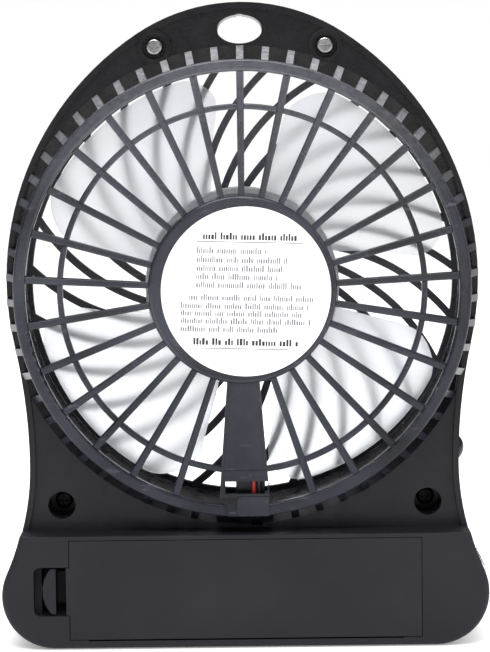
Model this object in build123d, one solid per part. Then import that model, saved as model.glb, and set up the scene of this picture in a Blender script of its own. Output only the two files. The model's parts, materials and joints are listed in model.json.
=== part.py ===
from build123d import *
from math import asin, atan2, cos, degrees, radians, sin, sqrt
import os

# A portable rechargeable desk fan, in millimetres.
# Z is up, the air leaves towards -Y, the battery door and the intake guard face +Y.
# The origin is at the middle of the flat base.

# ---------------------------------------------------------------- driving dimensions
HEIGHT = 143.6
FAN_Z = 80.1                  # height of the fan axis, which runs along Y

WALL = 1.8                    # thickness of both shells
PARTING_Y = -5.0              # the plane where the front and rear shells meet
FRONT_Y = -14.0               # flat front face
FOOT_FRONT_Y = -18.5          # the foot runs out to here
REAR_Y = 8.0                  # top of the lip round the upper rear face
RECESS_DEPTH = 1.0            # the upper rear face lies this far inside the lip
RECESS_Y = REAR_Y - RECESS_DEPTH
LIP_WIDTH = 1.3
LEDGE_Y = 18.0                # rear face of the battery box
LEDGE_Z = 25.4                # top of the battery box
EDGE_ROUND = 1.6
LEDGE_ROUND = 0.45            # the top edge of the battery box is sharper
FRONT_ROUND = 2.6

# outline of the body seen from the rear: tangent arcs, as (centre x, centre z), radius
TOP_CENTRE = (0.0, 101.6)
TOP_R = 42.0
SIDE_CENTRE = (-13.1, 81.5)
SIDE_R = 66.0
WAIST_X = 48.4                # half width at the narrowest place
WAIST_Z = 40.1
WAIST_UPPER_R = 126.7         # hollow arc above the waist
WAIST_LOWER_R = 56.9          # hollow arc below the waist
FOOT_CENTRE = (42.7, 11.8)
FOOT_R = 11.8

# profile of the front seen from the side: the foot swells forward in two arcs
FOOT_TOP_Z = 12.0
NECK_Z = 34.0
SWELL_R = 28.0

# air duct and guards
DUCT_R = 50.0
DUCT_WALL = 1.6
DUCT_OUTER_R = DUCT_R + DUCT_WALL
DISH_R = 53.9                 # a shallow dish round the duct's rear mouth ends here
DISH_FRONT_Y = 4.5            # where the dish meets the duct
FRONT_GUARD_R = 49.9
FRONT_RIM_INNER_R = 48.6
FRONT_HUB_R = 21.0
FRONT_RIBS = 27
FRONT_RIB_WIDTH = 1.6
FRONT_RIB_SWEEP = 34.0        # degrees that each rib turns between hub and rim
FRONT_GUARD_RISE = 1.5        # how far the middle of the front guard stands forward
FRONT_GUARD_THICKNESS = 2.0

GUARD_REAR_Y = 17.5
GUARD_FRONT_Y = 15.1          # front of the ring and of the spokes
SPOKE_REAR_Y = 17.35
SPOKE_PITCHES = 29            # two of the places carry the wire channel
SPOKE_LAST = 13               # spokes run from -13 to +13 pitches, 0 at the top
SPOKE_HUB_HALF = 0.7
SPOKE_RIM_HALF = 0.83
SPOKE_ROUND = 0.35
GUARD_RING_OUTER_R = 50.8
GUARD_RING_INNER_R = 48.1
GUARD_RING_ROUND = 0.6
GUARD_MID_R = 40.4
GUARD_MID_WIDTH = 1.25
BAR_WIDTH = 1.6
BAR_LAST = 27                 # side bars stand every half pitch
WALL_HEAD = 1.6               # thickness of the sloping side wall at the ring
WALL_FOOT = 2.2               # and at the dish
FIT_GAP = 0.05                # between a guard and its seat in the shell

# motor cup in the middle of the rear guard
CUP_R = 20.9
CUP_REAR_Y = 18.0
CUP_NECK_R = 19.8             # the front part goes inside the impeller's hub
CUP_NECK_REAR_Y = 4.2
CUP_FRONT_Y = 0.2
CUP_HOLLOW_R = 18.5
SOCKET_WALL = 1.4
WIRE_SPACE_REAR_Y = 15.3
LABEL_R = 18.8
LABEL_OFFSET = (-0.8, -0.4)   # the label is stuck on a little off centre
LABEL_SEAT_R = 19.9
LABEL_SEAT_Y = 17.9
LABEL_THICKNESS = 0.25

# wire channel from the hub down to the body
CHANNEL_HUB_HALF = 3.5
CHANNEL_RIM_HALF = 5.6
CHANNEL_HUB_R = 18.9
CHANNEL_RIM_R = 46.5
CHANNEL_FRONT_Y = 12.6
CHANNEL_REAR_Y = 17.4
CHANNEL_SKIN = 1.1
CHANNEL_SIDE_WALL = 1.2
PANEL_RIM = 0.45              # raised edges beside the sunk panel
PANEL_DEPTH = 0.3
PANEL_END_R = 40.4
WINDOW_X = (-5.2, 4.3)
WINDOW_R = (42.8, 45.6)
WINDOW_FLOOR_X = (-4.6, 1.9)  # only the rest of the window is open right through
THROAT_HALF = 2.5             # the wires' way out of the cup
TROUGH_X = (-4.0, -1.4)       # the wires' way down to the shell
CHUTE_HALF = 6.4
PAD_X = (-5.5, 1.8)           # raised pad over the ring
PAD_R = (46.2, 50.6)
GROOVE_X = (1.9, 4.4)         # slot beside the pad

# impeller
IMPELLER_HUB_R = 21.9
IMPELLER_HUB_WALL = 1.3
IMPELLER_TIP_R = 48.0
IMPELLER_FRONT_Y = -11.2
IMPELLER_REAR_Y = 3.6
BLADES = 4
BLADE_THICKNESS = 1.1
BLADE_FIRST = 14.0            # angle of the first leading edge, clockwise from the top

# motor
MOTOR_R = 12.2
MOTOR_FRONT_Y = 1.0
MOTOR_REAR_Y = 13.2
MOTOR_WALL = 0.8
SHAFT_R = 1.0
SHAFT_CLEARANCE = 0.03
BUSH_R = 2.5

# battery: a standard 18650 cell lying across the foot
CELL_R = 9.2
CELL_LENGTH = 65.2
CELL_Y = 6.4
CELL_Z = 12.9
BAY_HALF = 36.4
BAY_WALL = 1.2
BAY_FRONT_Y = -4.6
BAY_TOP_Z = 23.5

# battery door and its latch
DOOR_HALF = 39.4
DOOR_Z = (2.0, 24.5)
DOOR_THICKNESS = 1.7
DOOR_GAP = 0.15
NOTCH_X = (39.3, 47.3)
NOTCH_Z = (7.5, 18.5)
NOTCH_FLOOR_Y = 9.6
POCKET_X = 45.7               # beyond this the notch is only a shallow pocket
POCKET_FLOOR_Y = 14.5
NOTCH_ROUND = 1.5
WIRE_R = 0.5
LEAD_X = 34.35                # the battery wires leave the bay here
LEAD_Y = 2.4

# screws
TOP_SCREW = (19.05, 133.8)
TOP_BOSS_R = 3.75
TOP_COUNTERBORE_R = 2.75
TOP_SEAT_Y = 5.8
LOW_SCREW = (41.4, 30.85)
LOW_HOLE_R = 3.1
LOW_TUBE_R = 4.0
LOW_SEAT_Y = -3.0
LOW_JOINT_Y = -4.4            # the rear tube meets the front pillar here
SCREW_HEAD_R = 2.0
SCREW_HEAD_HEIGHT = 1.5
SCREW_SHANK_R = 0.95
SCREW_BORE_R = 1.0

# lanyard hole
LANYARD_Z = 137.6
LANYARD_HALF_WIDTH = 5.05
LANYARD_HALF_HEIGHT = 3.2
LANYARD_PEAK = 3.35           # the top comes to a slight point
LANYARD_WALL = 1.2

# controls on the flank at -X
BUTTON_Z = 42.3
BUTTON_R = 2.9
BUTTON_HOLE_R = 3.0
BUTTON_PROUD = 1.7            # how far its dome stands out
BUTTON_DOME_R = 3.5
LAMP_Z = 15.9
LAMP_R = 2.5
LAMP_LENGTH = 7.1
LAMP_PROUD = 0.2
LAMP_LEAD = 5.2               # how far the legs run before they bend
BEZEL_R = 3.3
BEZEL_PROUD = 0.55
BEZEL_DEPTH = 3.4
USB_Z = 36.5
USB_Y = 1.4
USB_WIDTH = 7.5
USB_HEIGHT = 2.6
BOARD_Y = (-3.6, -2.4)


# ---------------------------------------------------------------- helpers
def plane_at(y):
    """The XZ plane at this Y; sketches drawn as (x, z) land on it facing -Y."""
    return Plane(origin=(0, y, 0), x_dir=(1, 0, 0), z_dir=(0, -1, 0))


def slab(sketch, front, rear):
    """Extrude an (x, z) sketch from y=rear to y=front."""
    return extrude(plane_at(rear) * sketch, amount=rear - front)


def block(x, y, z):
    """A box from pairs of limits along each axis."""
    size = (x[1] - x[0], y[1] - y[0], z[1] - z[0])
    middle = ((x[0] + x[1]) / 2, (y[0] + y[1]) / 2, (z[0] + z[1]) / 2)
    return Pos(*middle) * Box(*size)


def disc_y(radius, front, rear, x=0.0, z=FAN_Z):
    """A cylinder along Y."""
    return slab(Pos(x, z) * Circle(radius), front, rear)


def rod_x(radius, start, end, y, z):
    """A cylinder along X."""
    middle = Pos((start + end) / 2, y, z)
    return middle * Rot(0, 90, 0) * Cylinder(radius, end - start)


def turned(points, axis_z=FAN_Z):
    """Revolve (radius, y) points round the fan axis."""
    outline = [(r, y, axis_z) for r, y in points]
    face = make_face(Polyline(*outline, close=True))
    return revolve(face, axis=Axis((0, 0, axis_z), (0, 1, 0)), revolution_arc=360)


def around(shape, angle):
    """Turn a shape round the fan axis, clockwise from the top as seen from the rear."""
    return shape.rotate(Axis((0, 0, FAN_Z), (0, 1, 0)), -angle)


def on_fan(radius, angle):
    """The (x, z) point at this radius, clockwise from the top as seen from the rear."""
    return (-radius * sin(radians(angle)), FAN_Z + radius * cos(radians(angle)))


def mirrored_pair(make):
    """Make a feature on both sides of the middle plane."""
    return [make(1), make(-1)]


def one_solid(shape):
    """The single solid of a boolean result."""
    return shape.solids().sort_by(SortBy.VOLUME)[-1]


def put_together(base, pieces):
    """Fuse a list of pieces onto a base in one operation."""
    return base.fuse(*pieces)


def take_away(base, tools):
    """Cut a list of tools from a base in one operation."""
    return base.cut(*tools)


def limited_to(first, second):
    """What two shapes have in common, as one shape."""
    return first & second


def save(name, *solids):
    """Write one node; a node of several loose solids is a compound."""
    shape = solids[0] if len(solids) == 1 else Compound(list(solids))
    export_step(shape, f"parts/{name}.step")


# ---------------------------------------------------------------- body outline
def arc_points(centre, radius, start, end):
    """First, middle and last point of an arc, from angles in degrees."""
    points = []
    for angle in (start, (start + end) / 2, end):
        x = centre[0] + radius * cos(radians(angle))
        y = centre[1] + radius * sin(radians(angle))
        points.append((x, y))
    return points


def body_outline(inset=0.0):
    """The body's outline in (x, z), moved inwards by the inset."""
    top_end = degrees(atan2(TOP_CENTRE[1] - SIDE_CENTRE[1], TOP_CENTRE[0] - SIDE_CENTRE[0]))
    drop = SIDE_CENTRE[1] - WAIST_Z
    side_end = degrees(atan2(drop, WAIST_X + WAIST_UPPER_R - SIDE_CENTRE[0]))
    upper = (WAIST_X + WAIST_UPPER_R, WAIST_Z)
    lower = (WAIST_X + WAIST_LOWER_R, WAIST_Z)
    foot_start = degrees(atan2(WAIST_Z - FOOT_CENTRE[1], lower[0] - FOOT_CENTRE[0]))
    arcs = [
        arc_points(TOP_CENTRE, TOP_R - inset, 90, top_end),
        arc_points(SIDE_CENTRE, SIDE_R - inset, top_end, -side_end),
        arc_points(upper, WAIST_UPPER_R + inset, 180 - side_end, 180),
        arc_points(lower, WAIST_LOWER_R + inset, 180, 180 + foot_start),
        arc_points(FOOT_CENTRE, FOOT_R - inset, foot_start, -90),
    ]
    for near, far in zip(arcs, arcs[1:]):
        far[0] = near[2]
    right = [ThreePointArc(*points) for points in arcs]
    left = [ThreePointArc(*[(-x, z) for x, z in points]) for points in arcs]
    end = arcs[-1][2]
    base = Line(end, (-end[0], end[1]))
    return make_face(right + [base] + left)


def front_profile(inset=0.0):
    """The front of the body seen from the side, as a prism right across it."""
    run = NECK_Z - FOOT_TOP_Z
    step = FRONT_Y - FOOT_FRONT_Y
    turn = degrees(2 * atan2(step, run))
    swell = arc_points((FOOT_FRONT_Y + SWELL_R, FOOT_TOP_Z), SWELL_R - inset, 180, 180 - turn)
    neck = arc_points((FRONT_Y - SWELL_R, NECK_Z), SWELL_R + inset, -turn, 0)
    bottom = -5
    top = HEIGHT + 5
    edges = [
        Line((PARTING_Y, bottom), (FOOT_FRONT_Y + inset, bottom)),
        Line((FOOT_FRONT_Y + inset, bottom), swell[0]),
        ThreePointArc(*swell),
        ThreePointArc(swell[2], neck[1], neck[2]),
        Line(neck[2], (FRONT_Y + inset, top)),
        Line((FRONT_Y + inset, top), (PARTING_Y, top)),
        Line((PARTING_Y, top), (PARTING_Y, bottom)),
    ]
    side = Plane(origin=(-60, 0, 0), x_dir=(0, 1, 0), z_dir=(1, 0, 0))
    return extrude(side * make_face(edges), amount=120)


def lanyard_wall():
    """The outline of the wall round the lanyard hole."""
    across = LANYARD_HALF_WIDTH + LANYARD_WALL
    return Pos(0, LANYARD_Z) * Ellipse(across, LANYARD_HALF_HEIGHT + LANYARD_WALL)


def lanyard_hole():
    """The lanyard hole right through the body: an oval with a slight point at the top."""
    oval = Ellipse(LANYARD_HALF_WIDTH, LANYARD_HALF_HEIGHT)
    shoulder = (1.9, 2.85)
    tip = Polyline(
        (-shoulder[0], shoulder[1]),
        (-0.35, LANYARD_PEAK),
        (0.35, LANYARD_PEAK),
        shoulder,
        (0, 0),
        close=True,
    )
    outline = oval + make_face(tip)
    return slab(Pos(0, LANYARD_Z) * outline, FOOT_FRONT_Y - 2, REAR_Y + 1)


def flank_x(z):
    """Half width of the body below the waist."""
    return WAIST_X + WAIST_LOWER_R - sqrt(WAIST_LOWER_R ** 2 - (z - WAIST_Z) ** 2)


def at_lamp(shape):
    """Place a shape built along X, outwards to -X, square to the sloping flank."""
    tilt = degrees(asin((WAIST_Z - LAMP_Z) / WAIST_LOWER_R))
    return Pos(-flank_x(LAMP_Z), 0, LAMP_Z) * Rot(0, tilt, 0) * shape


# ---------------------------------------------------------------- shells
def front_shell():
    """The front half of the body, hollow, with the air outlet and its screw pillars."""
    outer = limited_to(slab(body_outline(), FOOT_FRONT_Y - 1, PARTING_Y), front_profile())
    outer = one_solid(outer)
    outer = fillet(front_rim(outer), FRONT_ROUND)
    cavity = limited_to(slab(body_outline(WALL), FOOT_FRONT_Y, PARTING_Y), front_profile(WALL))
    cavity = one_solid(cavity) - disc_y(DUCT_OUTER_R, FOOT_FRONT_Y, PARTING_Y)
    cavity = cavity - slab(lanyard_wall(), FOOT_FRONT_Y, PARTING_Y)
    shell = outer - cavity - disc_y(DUCT_R, FOOT_FRONT_Y - 2, PARTING_Y + 2)
    shell = shell - lanyard_hole()
    pillars = []
    bores = []
    for side in (1, -1):
        top_x = side * TOP_SCREW[0]
        pillars.append(disc_y(2.8, FRONT_Y + 1, PARTING_Y, top_x, TOP_SCREW[1]))
        bores.append(disc_y(SCREW_BORE_R, FRONT_Y + WALL, PARTING_Y + 2, top_x, TOP_SCREW[1]))
        low_x = side * LOW_SCREW[0]
        pillars.append(disc_y(3.0, FRONT_Y + 1, LOW_JOINT_Y, low_x, LOW_SCREW[1]))
        bores.append(disc_y(SCREW_BORE_R, FRONT_Y + WALL, LOW_JOINT_Y + 1, low_x, LOW_SCREW[1]))
    shell = take_away(put_together(shell, pillars), bores)
    return one_solid(shell)


def front_rim(outer):
    """The loop of edges where the front surface meets the outline."""
    rim = []
    for edge in outer.edges():
        along = edge.tangent_at(0.5)
        across = abs(along.X) > 0.999 and edge.center().Z > 1
        seam = abs(along.Y) > 0.999
        if edge.center().Y < PARTING_Y - 1 and not across and not seam:
            rim.append(edge)
    return rim


def rear_shell():
    """The rear half of the body, with the battery box, the ledge and the recess."""
    upper = slab(body_outline(), PARTING_Y, REAR_Y)
    below_ledge = block((-60, 60), (-20, 20), (-5, LEDGE_Z))
    box = limited_to(slab(body_outline(), REAR_Y - 1, LEDGE_Y), below_ledge)
    box = one_solid(box)
    outer = one_solid(upper + box)
    outer = round_box_back(outer)

    above_ledge = block((-60, 60), (RECESS_Y, REAR_Y + 5), (LEDGE_Z, HEIGHT + 5))
    recess = limited_to(slab(body_outline(LIP_WIDTH), RECESS_Y, REAR_Y + 1), above_ledge)
    recess = take_away(one_solid(recess), mirrored_pair(top_boss))

    upper_cavity = slab(body_outline(WALL), PARTING_Y, RECESS_Y - WALL)
    box_cavity = slab(body_outline(WALL), RECESS_Y - WALL - 1, LEDGE_Y - WALL)
    box_limit = block((-60, 60), (-20, 20), (-5, LEDGE_Z - WALL))
    cavity = upper_cavity + one_solid(limited_to(box_cavity, box_limit))
    cavity = cavity - disc_y(DUCT_OUTER_R, PARTING_Y - 1, REAR_Y)
    cavity = cavity - dish_backing() - slab(lanyard_wall(), PARTING_Y - 1, REAR_Y)
    notch_box = block(
        (NOTCH_X[0] - 3.3, NOTCH_X[1] + BAY_WALL),
        (NOTCH_FLOOR_Y - BAY_WALL, LEDGE_Y),
        (NOTCH_Z[0] - BAY_WALL, NOTCH_Z[1] + BAY_WALL),
    )
    cavity = cavity - notch_box

    shell = outer - recess - cavity - dish()
    shell = shell - disc_y(DUCT_R, PARTING_Y - 1, REAR_Y + 1)
    shell = shell - lanyard_hole()
    additions = [
        block((-BAY_HALF, BAY_HALF), (BAY_FRONT_Y, BAY_FRONT_Y + BAY_WALL), (1, BAY_TOP_Z + 0.5)),
        block((-BAY_HALF, -BAY_HALF + BAY_WALL), (BAY_FRONT_Y, 14.6), (1, BAY_TOP_Z + 0.5)),
        block((BAY_HALF - BAY_WALL, BAY_HALF), (BAY_FRONT_Y, 14.6), (1, BAY_TOP_Z + 0.5)),
        block((-BAY_HALF, BAY_HALF), (BAY_FRONT_Y, RECESS_Y - 1), (LEDGE_Z - WALL, LEDGE_Z)),
    ]
    cuts = [door_opening()]
    for side in (1, -1):
        top_x = side * TOP_SCREW[0]
        additions.append(disc_y(TOP_BOSS_R, PARTING_Y, REAR_Y, top_x, TOP_SCREW[1]))
        cuts.append(disc_y(TOP_COUNTERBORE_R, TOP_SEAT_Y, REAR_Y + 1, top_x, TOP_SCREW[1]))
        cuts.append(disc_y(SCREW_BORE_R, PARTING_Y - 1, REAR_Y + 1, top_x, TOP_SCREW[1]))
        low_x = side * LOW_SCREW[0]
        additions.append(disc_y(LOW_TUBE_R, LOW_JOINT_Y, RECESS_Y - 1, low_x, LOW_SCREW[1]))
        cuts.append(disc_y(LOW_HOLE_R, LOW_SEAT_Y, REAR_Y + 1, low_x, LOW_SCREW[1]))
        cuts.append(disc_y(SCREW_BORE_R, LOW_JOINT_Y - 1, REAR_Y, low_x, LOW_SCREW[1]))
    additions.append(disc_y(2.0, BOARD_Y[1], RECESS_Y - 1, BOARD_POST[0], BOARD_POST[1]))
    cuts.append(disc_y(BOARD_BORE_R, BOARD_Y[1] - 1, BOARD_Y[1] + 5, BOARD_POST[0], BOARD_POST[1]))

    flank = -flank_x(BUTTON_Z)
    cuts.append(rod_x(BUTTON_HOLE_R, flank - 3, flank + WALL + 1, 0, BUTTON_Z))
    cuts.append(at_lamp(rod_x(BEZEL_R, -3, WALL + 3, 0, 0)))
    half_width = USB_WIDTH / 2 + 0.4
    half_height = USB_HEIGHT / 2 + 0.4
    cuts.append(
        block(
            (-WAIST_X - 3, -WAIST_X + WALL + 1),
            (USB_Y - half_width, USB_Y + half_width),
            (USB_Z - half_height, USB_Z + half_height),
        )
    )
    cuts.append(wire_hole())
    cuts.extend(mirrored_pair(lead_hole))
    shell = take_away(put_together(shell, additions), cuts)
    return one_solid(shell)


def round_box_back(outer):
    """Round the edges of the battery box's rear face, the top one less than the others."""
    back = outer.faces().filter_by(Axis.Y).sort_by(Axis.Y)[-1]
    low_edges = [edge for edge in back.outer_wire().edges() if edge.center().Z < LEDGE_Z - 0.5]
    outer = fillet(low_edges, EDGE_ROUND)
    back = outer.faces().filter_by(Axis.Y).sort_by(Axis.Y)[-1]
    top_edge = back.outer_wire().edges().sort_by(Axis.Z)[-1]
    return fillet(top_edge, LEDGE_ROUND)


def top_boss(side):
    """The boss that stands in the recess round a top screw."""
    return disc_y(TOP_BOSS_R, RECESS_Y - 1, REAR_Y + 1, side * TOP_SCREW[0], TOP_SCREW[1])


def dish_y(radius):
    """How far back the dish has risen at this distance from the fan axis."""
    share = (radius - DUCT_R) / (DISH_R - DUCT_R)
    return DISH_FRONT_Y + (RECESS_Y - DISH_FRONT_Y) * share


def dish():
    """The shallow dish round the duct's rear mouth; the flanks keep their full wall."""
    hollow = turned(
        [
            (DUCT_R - 1, DISH_FRONT_Y),
            (DUCT_R, DISH_FRONT_Y),
            (DISH_R, RECESS_Y),
            (DISH_R, REAR_Y),
            (DUCT_R - 1, REAR_Y),
        ]
    )
    return limited_to(hollow, slab(body_outline(WALL), 0, REAR_Y))


def dish_backing():
    """The thickening inside the shell that backs the dish."""
    front = DISH_FRONT_Y - 2.1
    rear = RECESS_Y - WALL + 0.1
    return turned([(DUCT_R, front), (DUCT_OUTER_R, front), (DISH_R + 2.1, rear), (DUCT_R, rear)])


def rounded_block(x, y, z, radius):
    """A block whose edges along Y are rounded."""
    body = block(x, y, z)
    return fillet(body.edges().filter_by(Axis.Y), radius)


def door_opening():
    """Everything cut from the rear shell for the battery door and the latch notch."""
    plate = block((-DOOR_HALF, DOOR_HALF), (LEDGE_Y - WALL - 1, LEDGE_Y + 2), DOOR_Z)
    bay = block(
        (-BAY_HALF + BAY_WALL, BAY_HALF - BAY_WALL),
        (BAY_FRONT_Y + BAY_WALL, LEDGE_Y),
        (WALL, BAY_TOP_Z),
    )
    pocket = rounded_block(NOTCH_X, (POCKET_FLOOR_Y, LEDGE_Y + 2), NOTCH_Z, NOTCH_ROUND)
    notch = block((NOTCH_X[0], POCKET_X), (NOTCH_FLOOR_Y, LEDGE_Y + 2), NOTCH_Z)
    under_door = block(
        (NOTCH_X[0] - 3.6, NOTCH_X[0] + 2),
        (NOTCH_FLOOR_Y, LEDGE_Y - WALL),
        (NOTCH_Z[0], NOTCH_Z[1]),
    )
    return (plate + bay + pocket + notch + under_door).clean()


def wire_hole():
    """The slot in the upper rear face below the guard where the motor's wires go inside."""
    return block(TROUGH_X, (0.4, RECESS_Y + 2), (LEDGE_Z + 0.5, FAN_Z - DUCT_R - 0.4))


def lead_hole(side):
    """The small hole in the roof of the battery bay for a contact's wire."""
    return Pos(side * LEAD_X, LEAD_Y, LEDGE_Z - 1) * Cylinder(0.75, 5)


# ---------------------------------------------------------------- front guard
DOME_SPAN = (FRONT_Y - FRONT_GUARD_RISE - 0.5, FRONT_Y + 2.6)


def dome_skin():
    """The front guard's shallow dome, as a sheet of even thickness."""
    chord = FRONT_GUARD_R
    dome_r = (chord ** 2 + FRONT_GUARD_RISE ** 2) / (2 * FRONT_GUARD_RISE)
    centre = Pos(0, FRONT_Y - FRONT_GUARD_RISE + dome_r, FAN_Z)
    sheet = centre * Sphere(dome_r) - centre * Sphere(dome_r - FRONT_GUARD_THICKNESS)
    return limited_to(sheet, disc_y(FRONT_GUARD_R, *DOME_SPAN))


def front_guard():
    """The front guard's hub, its rim and its spiral ribs."""
    skin = dome_skin()
    hub = disc_y(FRONT_HUB_R, *DOME_SPAN)
    inside_rim = disc_y(FRONT_RIM_INNER_R, *DOME_SPAN)
    rib = limited_to(skin, limited_to(spiral_rib(*DOME_SPAN), inside_rim - hub))
    ribs = [around(one_solid(rib), 360 / FRONT_RIBS * k) for k in range(FRONT_RIBS)]
    return one_solid(limited_to(skin, hub)), one_solid(skin - inside_rim), ribs


def spiral_rib(front, rear):
    """One curved rib of constant width, from the hub to the rim."""
    steps = 4
    inner_r = FRONT_HUB_R - 1
    outer_r = FRONT_RIM_INNER_R + 0.7
    middle = []
    for k in range(steps + 1):
        share = k / steps
        radius = inner_r + (outer_r - inner_r) * share
        middle.append(on_fan(radius, FRONT_RIB_SWEEP * share ** 0.85))
    line = Spline(*middle)
    half = FRONT_RIB_WIDTH / 2
    left = []
    right = []
    for k in range(steps + 1):
        point = line.position_at(k / steps)
        along = line.tangent_at(k / steps)
        left.append((point.X - along.Y * half, point.Y + along.X * half))
        right.append((point.X + along.Y * half, point.Y - along.X * half))
    edges = [
        Spline(*left),
        Line(left[-1], right[-1]),
        Spline(*right),
        Line(right[0], left[0]),
    ]
    return slab(make_face(edges), front, rear)


# ---------------------------------------------------------------- rear guard
def ring(inner, outer, front, rear, round_r):
    """A flat ring round the fan axis with its rear edges rounded."""
    solid = disc_y(outer, front, rear) - disc_y(inner, front - 1, rear + 1)
    edges = solid.edges().sort_by(Axis.Y)[-2:]
    return fillet(edges, round_r)


def guard_spoke(rounding):
    """One straight spoke at the top of the guard, a little wider at the rim."""
    low = FAN_Z + CUP_R
    high = FAN_Z + GUARD_RING_INNER_R - 0.01
    outline = Polyline(
        (-SPOKE_HUB_HALF, low),
        (SPOKE_HUB_HALF, low),
        (SPOKE_RIM_HALF, high),
        (-SPOKE_RIM_HALF, high),
        close=True,
    )
    body = slab(make_face(outline), GUARD_FRONT_Y, SPOKE_REAR_Y)
    if rounding == 0:
        return body
    rear_edges = body.edges().group_by(Axis.Y)[-1].sort_by(Axis.X)
    return fillet([rear_edges[0], rear_edges[-1]], rounding)


def at_spokes(shape):
    """Copies of a shape at every spoke's place."""
    pitch = 360 / SPOKE_PITCHES
    return [around(shape, pitch * k) for k in range(-SPOKE_LAST, SPOKE_LAST + 1)]


def guard_cross_bars():
    """The middle ring, in separate lengths between the spokes and the channel."""
    half = GUARD_MID_WIDTH / 2
    whole = ring(GUARD_MID_R - half, GUARD_MID_R + half, GUARD_FRONT_Y + 0.3, SPOKE_REAR_Y, SPOKE_ROUND)
    gaps = at_spokes(guard_spoke(0))
    gaps.append(slab(channel_sketch(), CHANNEL_FRONT_Y, CUP_REAR_Y))
    return take_away(whole, gaps).solids()


def channel_region():
    """The region of the ring and of the side wall that belongs to the wire channel."""
    return block((-CHUTE_HALF, CHUTE_HALF), (0, 30), (FAN_Z - 60, FAN_Z - 40))


def guard_ring():
    """The outer ring, in one piece round to the wire channel."""
    whole = ring(GUARD_RING_INNER_R, GUARD_RING_OUTER_R, GUARD_FRONT_Y, GUARD_REAR_Y, GUARD_RING_ROUND)
    return one_solid(whole - channel_region())


def side_wall():
    """The sloping side wall under the ring as (radius, y) points, standing on the dish."""
    outer_foot = DISH_R - FIT_GAP
    inner_foot = DISH_R - WALL_FOOT
    return [
        (outer_foot, dish_y(outer_foot) + FIT_GAP),
        (GUARD_RING_OUTER_R - FIT_GAP, GUARD_FRONT_Y),
        (GUARD_RING_OUTER_R - WALL_HEAD, GUARD_FRONT_Y),
        (inner_foot, dish_y(inner_foot) + FIT_GAP),
    ]


def guard_room():
    """Where the side bars may go: inside the flank's wall, then the lip, then the outline."""
    within_wall = slab(body_outline(WALL + FIT_GAP), 0, RECESS_Y)
    within_lip = slab(body_outline(LIP_WIDTH + FIT_GAP), RECESS_Y, REAR_Y)
    above_lip = slab(body_outline(FIT_GAP), REAR_Y, GUARD_REAR_Y)
    return within_wall + within_lip + above_lip


def guard_side_bars():
    """The sloping bars between the ring and the dish."""
    points = [(0, y, FAN_Z + r) for r, y in side_wall()]
    bar = extrude(make_face(Polyline(*points, close=True)), amount=BAR_WIDTH / 2, both=True)
    room = guard_room()
    bosses = mirrored_pair(boss_clearance)
    bars = []
    for k in range(-BAR_LAST, BAR_LAST + 1):
        placed = limited_to(around(bar, 180 / SPOKE_PITCHES * k), room)
        bars.append(one_solid(take_away(placed, bosses)))
    return bars


def boss_clearance(side):
    """The space that the side bars leave round a top boss."""
    return disc_y(TOP_BOSS_R + FIT_GAP, 0, REAR_Y + FIT_GAP, side * TOP_SCREW[0], TOP_SCREW[1])


def motor_cup():
    """The cup in the middle of the guard: it holds the motor and carries the label."""
    cup = disc_y(CUP_R, CUP_NECK_REAR_Y, CUP_REAR_Y)
    cup = fillet(cup.edges().sort_by(Axis.Y)[-1], 0.8)
    cup = cup + disc_y(CUP_NECK_R, CUP_FRONT_Y, CUP_NECK_REAR_Y)
    socket_r = MOTOR_R + FIT_GAP
    hollow = disc_y(CUP_HOLLOW_R, CUP_FRONT_Y - 1, MOTOR_REAR_Y)
    kept = [disc_y(socket_r + SOCKET_WALL, CUP_FRONT_Y - 1, MOTOR_REAR_Y)]
    rib_z = (FAN_Z + MOTOR_R + 1, FAN_Z + CUP_HOLLOW_R + 1)
    rib = block((-0.6, 0.6), (CUP_FRONT_Y + 0.4, MOTOR_REAR_Y), rib_z)
    for k in range(6):
        kept.append(around(rib, 60 * k + 30))
    cuts = [
        take_away(hollow, kept),
        disc_y(socket_r, CUP_FRONT_Y - 1, MOTOR_REAR_Y),
        disc_y(MOTOR_R - 1.5, MOTOR_REAR_Y - 1, WIRE_SPACE_REAR_Y),
        disc_y(LABEL_SEAT_R, LABEL_SEAT_Y, CUP_REAR_Y + 1),
        wire_exit(),
    ]
    return one_solid(take_away(cup, cuts))


def wire_exit():
    """The wires' way from behind the motor, through the cup's wall, to the channel."""
    wide_half = 6.8
    wide_z = FAN_Z - 8
    narrow_z = FAN_Z - CUP_HOLLOW_R
    end_z = FAN_Z - CUP_R - 1
    funnel = [
        (-wide_half, wide_z),
        (wide_half, wide_z),
        (THROAT_HALF, narrow_z),
        (THROAT_HALF, end_z),
        (-THROAT_HALF, end_z),
        (-THROAT_HALF, narrow_z),
    ]
    return slab(make_face(Polyline(*funnel, close=True)), CHANNEL_FRONT_Y, WIRE_SPACE_REAR_Y)


def channel_sketch(inset=0.0, end_r=CHANNEL_RIM_R):
    """The wire channel's outline, widening from the hub to the rim."""
    share = (end_r - CHANNEL_HUB_R) / (CHANNEL_RIM_R - CHANNEL_HUB_R)
    near = CHANNEL_HUB_HALF - inset
    far = CHANNEL_HUB_HALF + (CHANNEL_RIM_HALF - CHANNEL_HUB_HALF) * share - inset
    top = FAN_Z - CHANNEL_HUB_R
    bottom = FAN_Z - end_r
    return make_face(Polyline((-near, top), (near, top), (far, bottom), (-far, bottom), close=True))


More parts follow.
